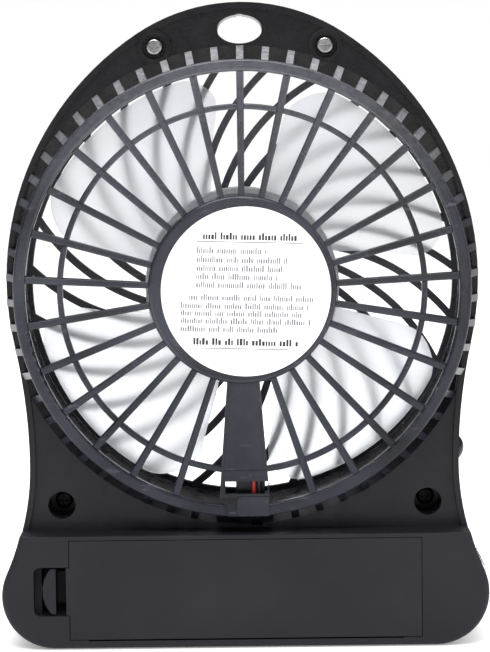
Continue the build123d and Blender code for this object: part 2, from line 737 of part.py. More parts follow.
def wire_channel():
    """The wire channel from the cup to the shell, with its part of the ring and the chute."""
    bar = slab(channel_sketch(), CHANNEL_FRONT_Y, CHANNEL_REAR_Y)
    whole_ring = ring(GUARD_RING_INNER_R, GUARD_RING_OUTER_R, GUARD_FRONT_Y, GUARD_REAR_Y, GUARD_RING_ROUND)
    ring_part = one_solid(limited_to(whole_ring, channel_region()))
    chute = one_solid(limited_to(turned(side_wall()), channel_region()))
    pad = block(PAD_X, (GUARD_REAR_Y - 1, GUARD_REAR_Y + 0.4), (FAN_Z - PAD_R[1], FAN_Z - PAD_R[0]))
    pad_corners = pad.edges().filter_by(Axis.Y).sort_by(Axis.X)[-2:]
    pad = fillet(pad_corners, 0.8)
    pad = fillet(pad.edges().group_by(Axis.Y)[-1], 0.25)
    body = put_together(bar, [ring_part, chute, pad])
    panel = slab(channel_sketch(PANEL_RIM, PANEL_END_R), CHANNEL_REAR_Y - PANEL_DEPTH, CHANNEL_REAR_Y + 1)
    window = block(WINDOW_X, (CHANNEL_FRONT_Y - 1, CUP_REAR_Y), (FAN_Z - WINDOW_R[1], FAN_Z - WINDOW_R[0]))
    groove = block(GROOVE_X, (GUARD_REAR_Y - 0.9, CUP_REAR_Y), (FAN_Z - 51.5, FAN_Z - 46.6))
    cup = disc_y(CUP_R, 0, CUP_REAR_Y + 1)
    body = take_away(body, [panel, window, groove, cup, channel_trough(), chute_well()])
    floor_z = (FAN_Z - WINDOW_R[1] - 0.8, FAN_Z - WINDOW_R[0] + 0.8)
    floor = block(WINDOW_FLOOR_X, (CHANNEL_FRONT_Y, CHANNEL_FRONT_Y + 0.6), floor_z)
    return one_solid(body + floor)


def channel_trough():
    """The hollow inside the wire channel, open towards the fan."""
    return slab(channel_sketch(CHANNEL_SIDE_WALL), CHANNEL_FRONT_Y - 1, CHANNEL_REAR_Y - CHANNEL_SKIN)


def chute_well():
    """The wires' way down behind the chute's outer wall."""
    head_y = GUARD_FRONT_Y
    outer = [
        (TROUGH_X[0], 5, FAN_Z - DISH_R + 1.1),
        (TROUGH_X[0], 5, FAN_Z - CHANNEL_RIM_R + 1),
        (TROUGH_X[0], head_y, FAN_Z - CHANNEL_RIM_R + 1),
        (TROUGH_X[0], head_y, FAN_Z - GUARD_RING_OUTER_R + 1.2),
    ]
    face = make_face(Polyline(*outer, close=True))
    return extrude(face, amount=TROUGH_X[1] - TROUGH_X[0], dir=(1, 0, 0))


def hub_label():
    """The round paper label in the seat of the motor cup."""
    x = LABEL_OFFSET[0]
    z = FAN_Z + LABEL_OFFSET[1]
    return disc_y(LABEL_R, LABEL_SEAT_Y, LABEL_SEAT_Y + LABEL_THICKNESS, x, z)


# ---------------------------------------------------------------- impeller
def blade_height(angle):
    """The blade's middle along Y at an angle behind its leading edge."""
    share = angle / 68
    return IMPELLER_REAR_Y - 0.9 - (IMPELLER_REAR_Y - IMPELLER_FRONT_Y - 2.0) * share ** 0.92


def blade():
    """One blade: a twisted sheet trimmed to its planform."""
    sections = []
    for angle in (-6, 8, 22, 36, 50, 64, 78):
        height = blade_height(max(angle, 0)) + (0.23 * -angle if angle < 0 else 0)
        inner = on_fan(IMPELLER_HUB_R - 0.6, angle)
        outer = on_fan(IMPELLER_TIP_R + 2, angle)
        half = BLADE_THICKNESS / 2
        corners = [
            (inner[0], height - half - 0.2, inner[1]),
            (outer[0], height - half, outer[1]),
            (outer[0], height + half, outer[1]),
            (inner[0], height + half + 0.2, inner[1]),
        ]
        sections.append(make_face(Polyline(*corners, close=True)))
    sheet = loft(sections)
    plan = blade_planform()
    return one_solid(limited_to(sheet, slab(plan, IMPELLER_FRONT_Y - 3, IMPELLER_REAR_Y + 3)))


def blade_planform():
    """The blade's outline seen along the fan axis, leading edge at angle 0."""
    root = IMPELLER_HUB_R - 0.8
    lead = Polyline(on_fan(root, 0), on_fan(37, 0.5))
    lead_corner = Spline(
        on_fan(37, 0.5),
        on_fan(44.5, 5),
        on_fan(IMPELLER_TIP_R, 14),
        tangents=[direction(0), direction(104)],
    )
    tip = ThreePointArc(on_fan(IMPELLER_TIP_R, 14), on_fan(IMPELLER_TIP_R, 36), on_fan(IMPELLER_TIP_R, 58))
    trail_corner = Spline(
        on_fan(IMPELLER_TIP_R, 58),
        on_fan(45.5, 65.5),
        on_fan(40, 68),
        tangents=[direction(148), direction(260)],
    )
    trail = Spline(
        on_fan(40, 68),
        on_fan(31, 63.5),
        on_fan(root, 56),
        tangents=[direction(260), direction(268)],
    )
    heel = Line(on_fan(root, 56), on_fan(root, 28))
    close = Line(on_fan(root, 28), on_fan(root, 0))
    return make_face([lead, lead_corner, tip, trail_corner, trail, heel, close])


def direction(angle):
    """A unit step at this angle, clockwise from the top as seen from the rear."""
    return (-sin(radians(angle)), cos(radians(angle)))


def impeller():
    """The impeller: a cup over the motor with four blades round it."""
    r = IMPELLER_HUB_R
    wall = IMPELLER_HUB_WALL
    nose = 3.0
    front = IMPELLER_FRONT_Y
    cup = disc_y(r, front, IMPELLER_REAR_Y)
    cup = fillet(cup.edges().sort_by(Axis.Y)[0], nose)
    hollow = disc_y(r - wall, front + 1.6, IMPELLER_REAR_Y + 1)
    hollow = fillet(hollow.edges().sort_by(Axis.Y)[0], nose - 1.2)
    boss = disc_y(3.4, front + 0.5, -2.0)
    first = around(blade(), BLADE_FIRST)
    blades = [around(first, 360 / BLADES * k) for k in range(BLADES)]
    hub_space = disc_y(r - wall, front + 1.6, IMPELLER_REAR_Y + 3)
    trimmed = [piece - hub_space for piece in blades]
    stiffener = block((-0.5, 0.5), (front + 1, -4.5), (FAN_Z + 3, FAN_Z + r - wall + 0.3))
    stiffeners = [around(stiffener, 60 * k) for k in range(6)]
    body = put_together(cup - hollow, [boss] + stiffeners + trimmed)
    bore = disc_y(SHAFT_R, -9.6, IMPELLER_REAR_Y)
    return one_solid(body - bore)


# ---------------------------------------------------------------- motor
def motor_nodes():
    """Every piece of the small brushed motor in the cup."""
    can = disc_y(MOTOR_R, MOTOR_FRONT_Y, MOTOR_REAR_Y - 1.6)
    can = fillet(can.edges().sort_by(Axis.Y)[0], 0.8)
    nose = disc_y(3.3, MOTOR_FRONT_Y - 1.5, MOTOR_FRONT_Y + MOTOR_WALL)
    hollow = disc_y(MOTOR_R - MOTOR_WALL, MOTOR_FRONT_Y + MOTOR_WALL, MOTOR_REAR_Y)
    bore = disc_y(BUSH_R, MOTOR_FRONT_Y - 3, MOTOR_FRONT_Y + 2)
    can = one_solid((can - hollow) + nose - bore)

    cap = disc_y(MOTOR_R, MOTOR_REAR_Y - 1.6, MOTOR_REAR_Y)
    cap = cap + disc_y(3.4, MOTOR_REAR_Y - 2.6, MOTOR_REAR_Y + 0.6)
    cap = cap - disc_y(BUSH_R, MOTOR_REAR_Y - 3, MOTOR_REAR_Y + 1)
    for side in (1, -1):
        slot_x = (side * 5 - 1.2, side * 5 + 1.2)
        cap = cap - block(slot_x, (MOTOR_REAR_Y - 2, MOTOR_REAR_Y + 1), TERMINAL_Z)

    bush = disc_y(BUSH_R, 0, 3.0) - disc_y(SHAFT_R + SHAFT_CLEARANCE, -1, 4)
    front_bush = Pos(0, MOTOR_FRONT_Y - 1.5, 0) * bush
    rear_bush = Pos(0, MOTOR_REAR_Y - 2.4, 0) * bush

    magnet = disc_y(MOTOR_R - MOTOR_WALL, MOTOR_FRONT_Y + 1.6, MOTOR_REAR_Y - 2.2)
    magnet = magnet - disc_y(9.4, MOTOR_FRONT_Y, MOTOR_REAR_Y)
    magnets = []
    for side in (1, -1):
        half = block(sorted((side * 2.2, side * 20)), (-20, 20), (FAN_Z - 20, FAN_Z + 20))
        magnets.append(one_solid(magnet & half))

    shaft = disc_y(SHAFT_R, -9.4, MOTOR_REAR_Y + 0.4)
    return can, cap, [front_bush, rear_bush], magnets, shaft


def armature():
    """The three-pole core on the shaft."""
    front = MOTOR_FRONT_Y + 3.2
    rear = MOTOR_REAR_Y - 4.4
    core = disc_y(3.2, front, rear)
    pole_face = (disc_y(9.0, front, rear) - disc_y(7.8, front - 1, rear + 1))
    pieces = []
    for k in range(3):
        neck = block((-1.2, 1.2), (front, rear), (FAN_Z + 2, FAN_Z + 8.2))
        wedge = block((-6.2, 6.2), (front, rear), (FAN_Z + 5.5, FAN_Z + 10))
        pieces.append(around(neck, 120 * k))
        pieces.append(around(one_solid(pole_face & wedge), 120 * k))
    core = put_together(core, pieces)
    return one_solid(core - disc_y(SHAFT_R, front - 1, rear + 1))


def windings():
    """The copper coils round the three poles."""
    front = MOTOR_FRONT_Y + 2.3
    rear = MOTOR_REAR_Y - 3.5
    coils = []
    for k in range(3):
        coil = block((-2.6, 2.6), (front, rear), (FAN_Z + 4.0, FAN_Z + 7.2))
        coil = fillet(coil.edges().filter_by(Axis.Z), 0.8)
        neck = block((-1.2, 1.2), (front + 0.9, rear - 0.9), (FAN_Z + 1, FAN_Z + 9))
        coils.append(around(coil - neck, 120 * k))
    return [one_solid(coil) for coil in coils]


def commutator():
    """The copper ring on the shaft that the brushes touch."""
    return disc_y(1.9, MOTOR_REAR_Y - 4.3, MOTOR_REAR_Y - 2.7) - disc_y(SHAFT_R, 0, 20)


TERMINAL_Z = (FAN_Z - 6.2, FAN_Z - 5.2)


def motor_terminals():
    """Two brass tags through the end cap."""
    tags = []
    for side in (1, -1):
        x = (side * 5 - 1.2, side * 5 + 1.2)
        tags.append(block(x, (MOTOR_REAR_Y - 2.6, MOTOR_REAR_Y + 1.0), TERMINAL_Z))
    return tags


def motor_brushes():
    """Two spring brushes from the end cap to the commutator."""
    springs = []
    for side in (1, -1):
        leaf_x = sorted((side * 1.95, side * 2.25))
        leaf = block(leaf_x, (MOTOR_REAR_Y - 3.3, MOTOR_REAR_Y - 2.8), (TERMINAL_Z[0], FAN_Z + 1.0))
        foot_x = sorted((side * 1.95, side * 6.2))
        foot = block(foot_x, (MOTOR_REAR_Y - 3.2, MOTOR_REAR_Y - 2.6), TERMINAL_Z)
        springs.append(one_solid(leaf + foot))
    return springs


# ---------------------------------------------------------------- wires
def wire(points, bend):
    """A round wire along straight runs joined by arcs."""
    path = FilletPolyline(*points, radius=bend)
    start = Plane(origin=path.position_at(0), z_dir=path.tangent_at(0))
    return one_solid(sweep(start * Circle(WIRE_R), path=path))


def motor_wire_red():
    """The red wire from the motor, down the channel and along to the board."""
    points = [
        (5.0, 14.3, TERMINAL_Z[0]),
        (5.0, 14.3, TERMINAL_Z[0] - 4.0),
        (1.4, 14.3, FAN_Z - 18.0),
        (-2.1, 14.3, FAN_Z - 40.0),
        (-2.1, 13.9, FAN_Z - 47.5),
        (-2.1, 7.4, FAN_Z - 51.0),
        (-2.1, 1.4, FAN_Z - 52.9),
        (-9.0, 1.0, FAN_Z - 53.4),
        (-24.0, 1.0, FAN_Z - 52.4),
        (-27.6, 0.2, FAN_Z - 49.6),
        (-27.6, BOARD_Y[1], FAN_Z - 49.6),
    ]
    return wire(points, 1.0)


def motor_wire_black():
    """The black wire from the motor, beside the red one."""
    points = [
        (-5.0, 14.3, TERMINAL_Z[0]),
        (-5.0, 14.3, TERMINAL_Z[0] - 4.0),
        (-1.4, 14.3, FAN_Z - 18.0),
        (-3.3, 14.3, FAN_Z - 40.0),
        (-3.3, 13.9, FAN_Z - 47.5),
        (-3.3, 7.4, FAN_Z - 51.0),
        (-3.3, 2.4, FAN_Z - 53.7),
        (-9.0, 2.4, FAN_Z - 53.7),
        (-24.0, 2.6, FAN_Z - 51.6),
        (-31.2, 0.4, FAN_Z - 45.4),
        (-31.2, BOARD_Y[1], FAN_Z - 45.4),
    ]
    return wire(points, 1.0)


def battery_wires():
    """The two wires from the battery contacts up through the bay's roof to the board."""
    far = [
        (LEAD_X, LEAD_Y, CELL_Z + 1.6),
        (LEAD_X, LEAD_Y, LEDGE_Z + 1.4),
        (LEAD_X - 5.0, -1.4, LEDGE_Z + 1.4),
        (-27.4, -1.4, LEDGE_Z + 1.4),
        (-27.4, BOARD_Y[1], LEDGE_Z + 1.4),
    ]
    near = [
        (-LEAD_X, LEAD_Y, CELL_Z + 1.6),
        (-LEAD_X, LEAD_Y, LEDGE_Z + 2.0),
        (-LEAD_X, BOARD_Y[1], LEDGE_Z + 2.0),
    ]
    return [wire(far, 0.49), wire(near, 1.0)]


# ---------------------------------------------------------------- battery
def battery_cell():
    """The cell: a wrapped can with its small positive cap at +X."""
    half = CELL_LENGTH / 2
    can = rod_x(CELL_R, -half, half - 0.9, CELL_Y, CELL_Z)
    can = fillet(can.edges().filter_by(GeomType.CIRCLE), 0.7)
    cap = rod_x(2.9, half - 1.2, half, CELL_Y, CELL_Z)
    return one_solid(can + cap)


def contact_plate(side, gap):
    """A folded leaf contact between the cell's end and the bay's end wall."""
    wall_x = side * (BAY_HALF - BAY_WALL)
    cell_x = side * (CELL_LENGTH / 2 + gap)
    thin = 0.35
    leaf_y = (CELL_Y - 3, CELL_Y + 3)
    top = CELL_Z + 6
    back_x = sorted((wall_x, wall_x - side * thin))
    back = block(back_x, (CELL_Y - 5, CELL_Y + 5), (CELL_Z - 6, top))
    front = block(sorted((cell_x, cell_x + side * thin)), leaf_y, (CELL_Z - 4, top))
    fold = block(sorted((wall_x, cell_x)), leaf_y, (top - thin, top))
    return one_solid(back + front + fold)


# ---------------------------------------------------------------- door and latch
def battery_door():
    """The battery door: a flat plate with two tabs that hook under the shell at -X."""
    x = (-DOOR_HALF + DOOR_GAP, DOOR_HALF + 0.8 - DOOR_GAP)
    z = (DOOR_Z[0] + DOOR_GAP, DOOR_Z[1] - DOOR_GAP)
    plate = block(x, (LEDGE_Y - DOOR_THICKNESS, LEDGE_Y), z)
    above = block((DOOR_HALF - DOOR_GAP, DOOR_HALF + 2), (10, 20), (NOTCH_Z[1] - DOOR_GAP, 30))
    below = block((DOOR_HALF - DOOR_GAP, DOOR_HALF + 2), (10, 20), (-2, NOTCH_Z[0] + DOOR_GAP))
    plate = take_away(plate, [above, below])
    tabs = []
    for low in (4.5, 16.5):
        tabs.append(
            block(
                (-DOOR_HALF - 1.9, -DOOR_HALF + 3),
                (LEDGE_Y - WALL - 1.1, LEDGE_Y - WALL - 0.1),
                (low, low + 5.0),
            )
        )
        tabs.append(
            block(
                (-DOOR_HALF + DOOR_GAP, -DOOR_HALF + 3),
                (LEDGE_Y - WALL - 0.2, LEDGE_Y - WALL + 0.3),
                (low, low + 5.0),
            )
        )
    rib_y = (LEDGE_Y - DOOR_THICKNESS - 0.5, LEDGE_Y - 1)
    ribs = [block((-33, 33), rib_y, (low, low + 1)) for low in (5.0, 20.0)]
    return one_solid(put_together(plate, tabs + ribs))


def door_latch():
    """The finger latch beside the door: a bowed leaf on a strap under the door's end."""
    low = NOTCH_Z[0] + 0.4
    high = NOTCH_Z[1] - 0.4
    middle = (low + high) / 2
    outline = [
        ThreePointArc((43.3, low), (45.35, middle), (43.5, high)),
        Line((43.5, high), (42.4, high)),
        Line((42.4, high), (42.4, low)),
        Line((42.4, low), (43.3, low)),
    ]
    leaf = slab(make_face(outline), 11.0, LEDGE_Y - 0.5)
    strap_z = (low + 1.5, high - 1.5)
    strap = block((37.4, 44.0), (10.4, 11.4), strap_z)
    riser = block((37.4, 38.4), (10.4, LEDGE_Y - DOOR_THICKNESS - 0.3), strap_z)
    return one_solid(leaf + strap + riser)


# ---------------------------------------------------------------- controls
BOARD_POST = (-30.6, 29.2)
BOARD_BORE_R = 0.8


def circuit_board():
    """The board along the flank, cut away round the duct, the pillar and the lamp."""
    area = limited_to(
        slab(body_outline(3.6), *BOARD_Y),
        block((-50, -26), (-10, 10), (8.5, 48.6)),
    )
    cuts = [
        disc_y(DUCT_OUTER_R + 0.6, -10, 10),
        disc_y(LOW_TUBE_R + 0.5, -10, 10, -LOW_SCREW[0], LOW_SCREW[1]),
        block((-60, -43.6), (-10, 10), (5, 24.5)),
        block((-BAY_HALF - 0.6, -20), (-10, 10), (5, LEDGE_Z + 0.3)),
        disc_y(BOARD_BORE_R + 0.1, -10, 10, *BOARD_POST),
    ]
    return one_solid(take_away(one_solid(area), cuts))


def board_screw():
    """The screw that holds the board to its post, driven from the front."""
    head_z = BOARD_Y[0]
    head = disc_y(1.5, head_z - 1.0, head_z, *BOARD_POST)
    shank = disc_y(BOARD_BORE_R - 0.05, head_z, BOARD_Y[1] + 4.0, *BOARD_POST)
    slot = block(
        (BOARD_POST[0] - 1.0, BOARD_POST[0] + 1.0),
        (head_z - 2, head_z - 0.5),
        (BOARD_POST[1] - 0.2, BOARD_POST[1] + 0.2),
    )
    return one_solid(head + shank - slot)


def driver_chip():
    """The charge and boost chip with its eight legs, on the board's front."""
    x = (-42.6, -38.7)
    z = (40.2, 42.6)
    body = block(x, (BOARD_Y[0] - 1.4, BOARD_Y[0] - 0.1), z)
    body = chamfer(body.edges().filter_by(Axis.X), 0.25)
    legs = []
    for k in range(4):
        leg_x = x[0] + 0.5 + 0.95 * k
        leg_z = (z[0] - 0.7, z[1] + 0.7)
        legs.append(block((leg_x - 0.2, leg_x + 0.2), (BOARD_Y[0] - 0.5, BOARD_Y[0]), leg_z))
    return one_solid(put_together(body, legs))


def boost_inductor():
    """The square inductor on the board's front."""
    body = block((-36.5, -32.5), (BOARD_Y[0] - 2.0, BOARD_Y[0]), (32.2, 36.2))
    return fillet(body.edges().filter_by(Axis.Y), 0.9)


def capacitors():
    """Three small ceramic capacitors on the board's front."""
    places = ((-39.6, 37.6), (-37.0, 37.6), (-34.0, 28.6))
    return [
        block((x - 0.5, x + 0.5), (BOARD_Y[0] - 0.9, BOARD_Y[0]), (z - 0.9, z + 0.9)) for x, z in places
    ]


def power_button():
    """The domed button: a stem through the flank with a flange inside it."""
    flank = -flank_x(BUTTON_Z)
    tip = flank - BUTTON_PROUD
    dome = Pos(tip + BUTTON_DOME_R, 0, BUTTON_Z) * Sphere(BUTTON_DOME_R)
    head = one_solid(limited_to(rod_x(BUTTON_R, tip - 1, tip + BUTTON_DOME_R, 0, BUTTON_Z), dome))
    stem = rod_x(BUTTON_R, tip + 2.5, flank + WALL + 0.3, 0, BUTTON_Z)
    flange = rod_x(BUTTON_R + 0.75, flank + WALL + 0.25, flank + WALL + 0.9, 0, BUTTON_Z)
    return one_solid(put_together(head, [stem, flange]))


SWITCH_X = (-44.4, -41.2)


def tact_switch():
    """The switch body on the board, with the pocket of its plunger."""
    body = block(SWITCH_X, (BOARD_Y[1], BOARD_Y[1] + 4.6), (BUTTON_Z - 3, BUTTON_Z + 3))
    return one_solid(body - rod_x(1.15, SWITCH_X[0] - 1, SWITCH_X[0] + 2.0, 0, BUTTON_Z))


def tact_plunger():
    """The switch's plunger, which the button pushes."""
    flange_end = -flank_x(BUTTON_Z) + WALL + 0.9
    return rod_x(1.05, flange_end, SWITCH_X[0] + 1.2, 0, BUTTON_Z)


def usb_socket():
    """The charging socket's metal shell, standing on its edge on the board."""
    x = (-WAIST_X + 1.0, -WAIST_X + 6.0)
    y = (USB_Y - USB_WIDTH / 2, USB_Y + USB_WIDTH / 2)
    z = (USB_Z - USB_HEIGHT / 2, USB_Z + USB_HEIGHT / 2)
    shell = block(x, y, z)
    inside = block((x[0] - 1, x[1] - 0.6), (y[0] + 0.3, y[1] - 0.3), (z[0] + 0.3, z[1] - 0.3))
    return one_solid(shell - inside)


def usb_tongue():
    """The contact tongue inside the charging socket."""
    return block(
        (-WAIST_X + 2.0, -WAIST_X + 5.4),
        (USB_Y - 1.9, USB_Y + 1.9),
        (USB_Z + 0.1, USB_Z + 0.7),
    )


def lamp_led():
    """The lamp: a five millimetre LED with its base flange and domed tip."""
    tip = -LAMP_PROUD
    base = tip + LAMP_LENGTH
    dome = Pos(tip + LAMP_R, 0, 0) * Sphere(LAMP_R)
    body = rod_x(LAMP_R, tip + LAMP_R, base, 0, 0)
    flange = rod_x(2.85, base - 1.0, base, 0, 0)
    return at_lamp(one_solid(dome + body + flange))


def lamp_bezel():
    """The bright ring round the lamp, set into the flank."""
    outer = rod_x(BEZEL_R - 0.02, -BEZEL_PROUD, BEZEL_DEPTH, 0, 0)
    outer = fillet(outer.edges().filter_by(GeomType.CIRCLE).sort_by(Axis.X)[0], 0.5)
    flare_depth = 2.6
    flare = Pos(flare_depth / 2 - BEZEL_PROUD, 0, 0) * Rot(0, 90, 0)
    flare = flare * Cone(BEZEL_R - 0.55, LAMP_R + 0.05, flare_depth)
    bore = rod_x(LAMP_R + 0.05, -BEZEL_PROUD - 1, BEZEL_DEPTH + 1, 0, 0)
    return at_lamp(one_solid(outer - flare - bore))


def lamp_leads():
    """The LED's two legs, bent down to the board."""
    base = LAMP_LENGTH - LAMP_PROUD
    legs = []
    for dz in (1.27, -1.27):
        z = (dz - 0.25, dz + 0.25)
        out = block((base, base + LAMP_LEAD), (-0.25, 0.25), z)
        down = block((base + LAMP_LEAD - 0.5, base + LAMP_LEAD), (BOARD_Y[1], 0.25), z)
        legs.append(at_lamp(one_solid(out + down)))
    return legs


# ---------------------------------------------------------------- screws
def screw(length):
    """A pan-head screw along -Y with its seat at y=0 and a cross recess."""
    head = disc_y(SCREW_HEAD_R, 0, SCREW_HEAD_HEIGHT, z=0)
    head = fillet(head.edges().sort_by(Axis.Y)[-1], 0.7)
    shank = disc_y(SCREW_SHANK_R, -length, 0, z=0)
    shank = chamfer(shank.edges().sort_by(Axis.Y)[0], 0.4)
    slots = [
        block((-1.15, 1.15), (SCREW_HEAD_HEIGHT - 0.8, 3), (-0.25, 0.25)),
        block((-0.25, 0.25), (SCREW_HEAD_HEIGHT - 0.8, 3), (-1.15, 1.15)),
    ]
    return one_solid(take_away(head + shank, slots))


def screws_at(place, seat, length):
    """A pair of screws, one each side of the middle."""
    return [Pos(side * place[0], seat, place[1]) * screw(length) for side in (1, -1)]


# ---------------------------------------------------------------- write every node
os.makedirs("parts", exist_ok=True)

save("front_shell", front_shell())
save("rear_shell", rear_shell())

front_hub, front_guard_rim, front_ribs = front_guard()
save("front_guard_hub", front_hub)
save("front_guard_rim", front_guard_rim)
save("front_guard_ribs", *front_ribs)

save("rear_guard_ring", guard_ring())
save("rear_guard_spokes", *at_spokes(guard_spoke(SPOKE_ROUND)))
save("rear_guard_cross_bars", *guard_cross_bars())
save("rear_guard_side_bars", *guard_side_bars())
save("motor_cup", motor_cup())
save("wire_channel", wire_channel())
save("hub_label", hub_label())
save("impeller", impeller())

can, cap, bushes, magnets, shaft = motor_nodes()
save("motor_can", can)
save("motor_end_cap", cap)
save("motor_bushes", *bushes)
save("motor_magnets", *magnets)
save("motor_shaft", shaft)
save("motor_armature", armature())
save("motor_windings", *windings())
save("motor_commutator", commutator())
save("motor_terminals", *motor_terminals())
save("motor_brushes", *motor_brushes())

save("motor_wire_red", motor_wire_red())
save("motor_wire_black", motor_wire_black())

save("battery_cell", battery_cell())
save("battery_contact_spring", contact_plate(-1, 0.0))
save("battery_contact_plate", contact_plate(1, 0.0))
save("battery_wires", *battery_wires())
save("battery_door", battery_door())
save("door_latch", door_latch())

save("circuit_board", circuit_board())
save("board_screw", board_screw())
save("driver_chip", driver_chip())
save("boost_inductor", boost_inductor())
save("capacitors", *capacitors())
save("power_button", power_button())
save("tact_switch", tact_switch())
save("tact_plunger", tact_plunger())
save("usb_socket", usb_socket())
save("usb_tongue", usb_tongue())
save("lamp_led", lamp_led())
save("lamp_bezel", lamp_bezel())
save("lamp_leads", *lamp_leads())

save("top_screws", *screws_at(TOP_SCREW, TOP_SEAT_Y, 12.0))
save("bottom_screws", *screws_at(LOW_SCREW, LOW_SEAT_Y, 8.0))
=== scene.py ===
import json
import math
import random

import bmesh
import bpy
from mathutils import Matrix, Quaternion, Vector


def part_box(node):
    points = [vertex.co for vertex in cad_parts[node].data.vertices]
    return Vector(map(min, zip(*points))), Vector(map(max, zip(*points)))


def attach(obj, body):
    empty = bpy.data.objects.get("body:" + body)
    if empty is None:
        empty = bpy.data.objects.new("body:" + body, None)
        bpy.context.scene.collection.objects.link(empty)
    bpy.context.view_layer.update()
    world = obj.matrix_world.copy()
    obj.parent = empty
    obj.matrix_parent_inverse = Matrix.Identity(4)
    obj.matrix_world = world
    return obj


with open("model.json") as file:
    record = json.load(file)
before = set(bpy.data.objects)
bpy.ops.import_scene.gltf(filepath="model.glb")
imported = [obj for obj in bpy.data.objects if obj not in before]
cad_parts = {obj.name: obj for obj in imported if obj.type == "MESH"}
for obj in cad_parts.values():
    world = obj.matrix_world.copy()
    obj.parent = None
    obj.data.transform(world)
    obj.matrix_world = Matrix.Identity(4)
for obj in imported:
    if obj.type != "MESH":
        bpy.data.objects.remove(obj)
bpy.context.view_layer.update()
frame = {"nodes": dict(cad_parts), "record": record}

# ---------------------------------------------------------------- driving values, in metres
MM = 0.001
FAN_CENTRE = Vector((0.0, 0.0, 80.1 * MM))
LEDGE_TOP = 25.4 * MM         # top of the battery box
TOP = 143.6 * MM              # top of the body

# heights where the materials change, and where the painted sheen and the painted highlight fade
PAINTED_SHEEN_REACH = 35 * MM          # the box's paler tone runs on above the ledge as a painted sheen and fades out this far above it
DULL_BELOW = 0.2 * MM         # the box's dullness ends between these two offsets
DULL_ABOVE = 0.4 * MM
PAINTED_HIGHLIGHT_FROM = 95 * MM           # painted highlight: the guards turn paler towards the top between these two heights, as if lit from above
PAINTED_HIGHLIGHT_FULL = 132 * MM
# the battery box's own tones, also used above the ledge as the painted sheen on the recess
BOX_AND_SHEEN_TONES = [(0.3, (0.0150, 0.0143, 0.0180)), (0.7, (0.0190, 0.0182, 0.0225))]

# the label's marks; they are worked out in millimetres
LABEL_CENTRE = (-0.8, 79.7)   # x and z
LABEL_TURN = 1.8              # degrees; the label is stuck on a little crooked
MARK_HALF_DEPTH = 0.03        # how far a mark reaches into and out of the paper
WORD_GAP = 0.7
STROKE_GAP = 0.22
BOLD_STROKE = 0.42
THIN_STROKE = 0.24
RULE_THICKNESS = 0.14
HEADLINE_SEED = 7
TEXT_SEED = 11

# middle height, letter height, start and end of each row
HEADLINES = [(12.2, 1.56, -9.7, 11.1), (-11.2, 1.5, -11.4, 11.5)]
TEXT_ROWS = [
    (9.0, 1.4, -11.0, 4.2),
    (7.0, 1.4, -11.0, 8.9),
    (5.1, 1.4, -11.0, 8.1),
    (3.25, 1.4, -11.0, 6.8),
    (1.4, 1.4, -11.0, 12.0),
    (-1.4, 1.3, -12.5, 14.8),
    (-3.25, 1.3, -14.3, 12.9),
    (-4.9, 1.3, -14.3, 12.3),
    (-6.6, 1.3, -14.3, 13.3),
    (-8.4, 1.3, -14.3, 6.8),
]
# middle height, start and end of each rule
RULES = [(10.9, -11.1, 12.3), (-12.7, -9.9, 9.7)]

FLOOR_SIZE = 6.0
FLOOR_GAP = 0.2 * MM          # the floor lies this far below the base

# the camera's place and field of view
CAMERA_TARGET = Vector((-0.5 * MM, 8 * MM, 71.2 * MM))
CAMERA_DISTANCE = 620 * MM
CAMERA_AZIMUTH = 180.0
CAMERA_ELEVATION = 5.0
CAMERA_ROLL = 0.65            # degrees; the fan leans to the left in the picture
VIEW_HEIGHT = 146.5 * MM      # what the frame's height spans at the target

nodes = frame["nodes"]
slots = {part["node"]: part["material_slot"] for part in frame["record"]["subparts"]}


